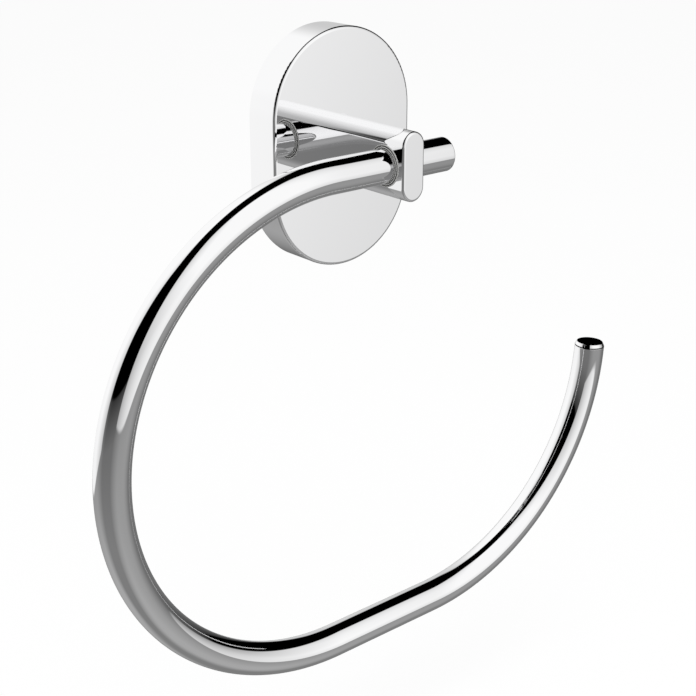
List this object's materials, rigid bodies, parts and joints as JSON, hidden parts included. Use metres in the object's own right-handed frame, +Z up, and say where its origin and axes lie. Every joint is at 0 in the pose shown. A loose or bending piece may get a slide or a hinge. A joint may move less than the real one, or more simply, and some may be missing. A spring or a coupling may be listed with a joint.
{
  "type": "towel ring",
  "caption": "Chromed wall towel ring: an open C of round tube passes through the head of a flat arm that stands on a stadium-shaped wall cover over a hidden bracket.",
  "frame": {"origin": "middle of the wall bracket's back face, on the wall", "axes": "+Y into the wall, +X to the right and +Z up as seen from the room; the ring stands off the wall towards -Y"},
  "size_m": [0.1979, 0.0425, 0.1889],
  "materials": {
    "polished_chrome": "bright polished chrome plating",
    "bush_nylon": "plain grey nylon, slightly satin",
    "cast_bracket": "raw die-cast zinc, dull",
    "zinc_steel": "bright zinc plating",
    "stainless_screw": "turned stainless steel"
  },
  "bodies": {
    "root": {"wall_bracket": "cast_bracket", "wall_cover": "polished_chrome", "cover_grub_screw": "stainless_screw", "lock_washer_upper": "zinc_steel", "lock_washer_lower": "zinc_steel", "arm_screw_upper": "zinc_steel", "arm_screw_lower": "zinc_steel", "support_arm": "polished_chrome", "flank_bush_right": "bush_nylon", "flank_bush_left": "bush_nylon", "ring_tube": "polished_chrome", "free_end_cap": "polished_chrome", "stub_end_plug": "polished_chrome", "tube_grub_screw": "stainless_screw"}
  },
  "joints": []
}
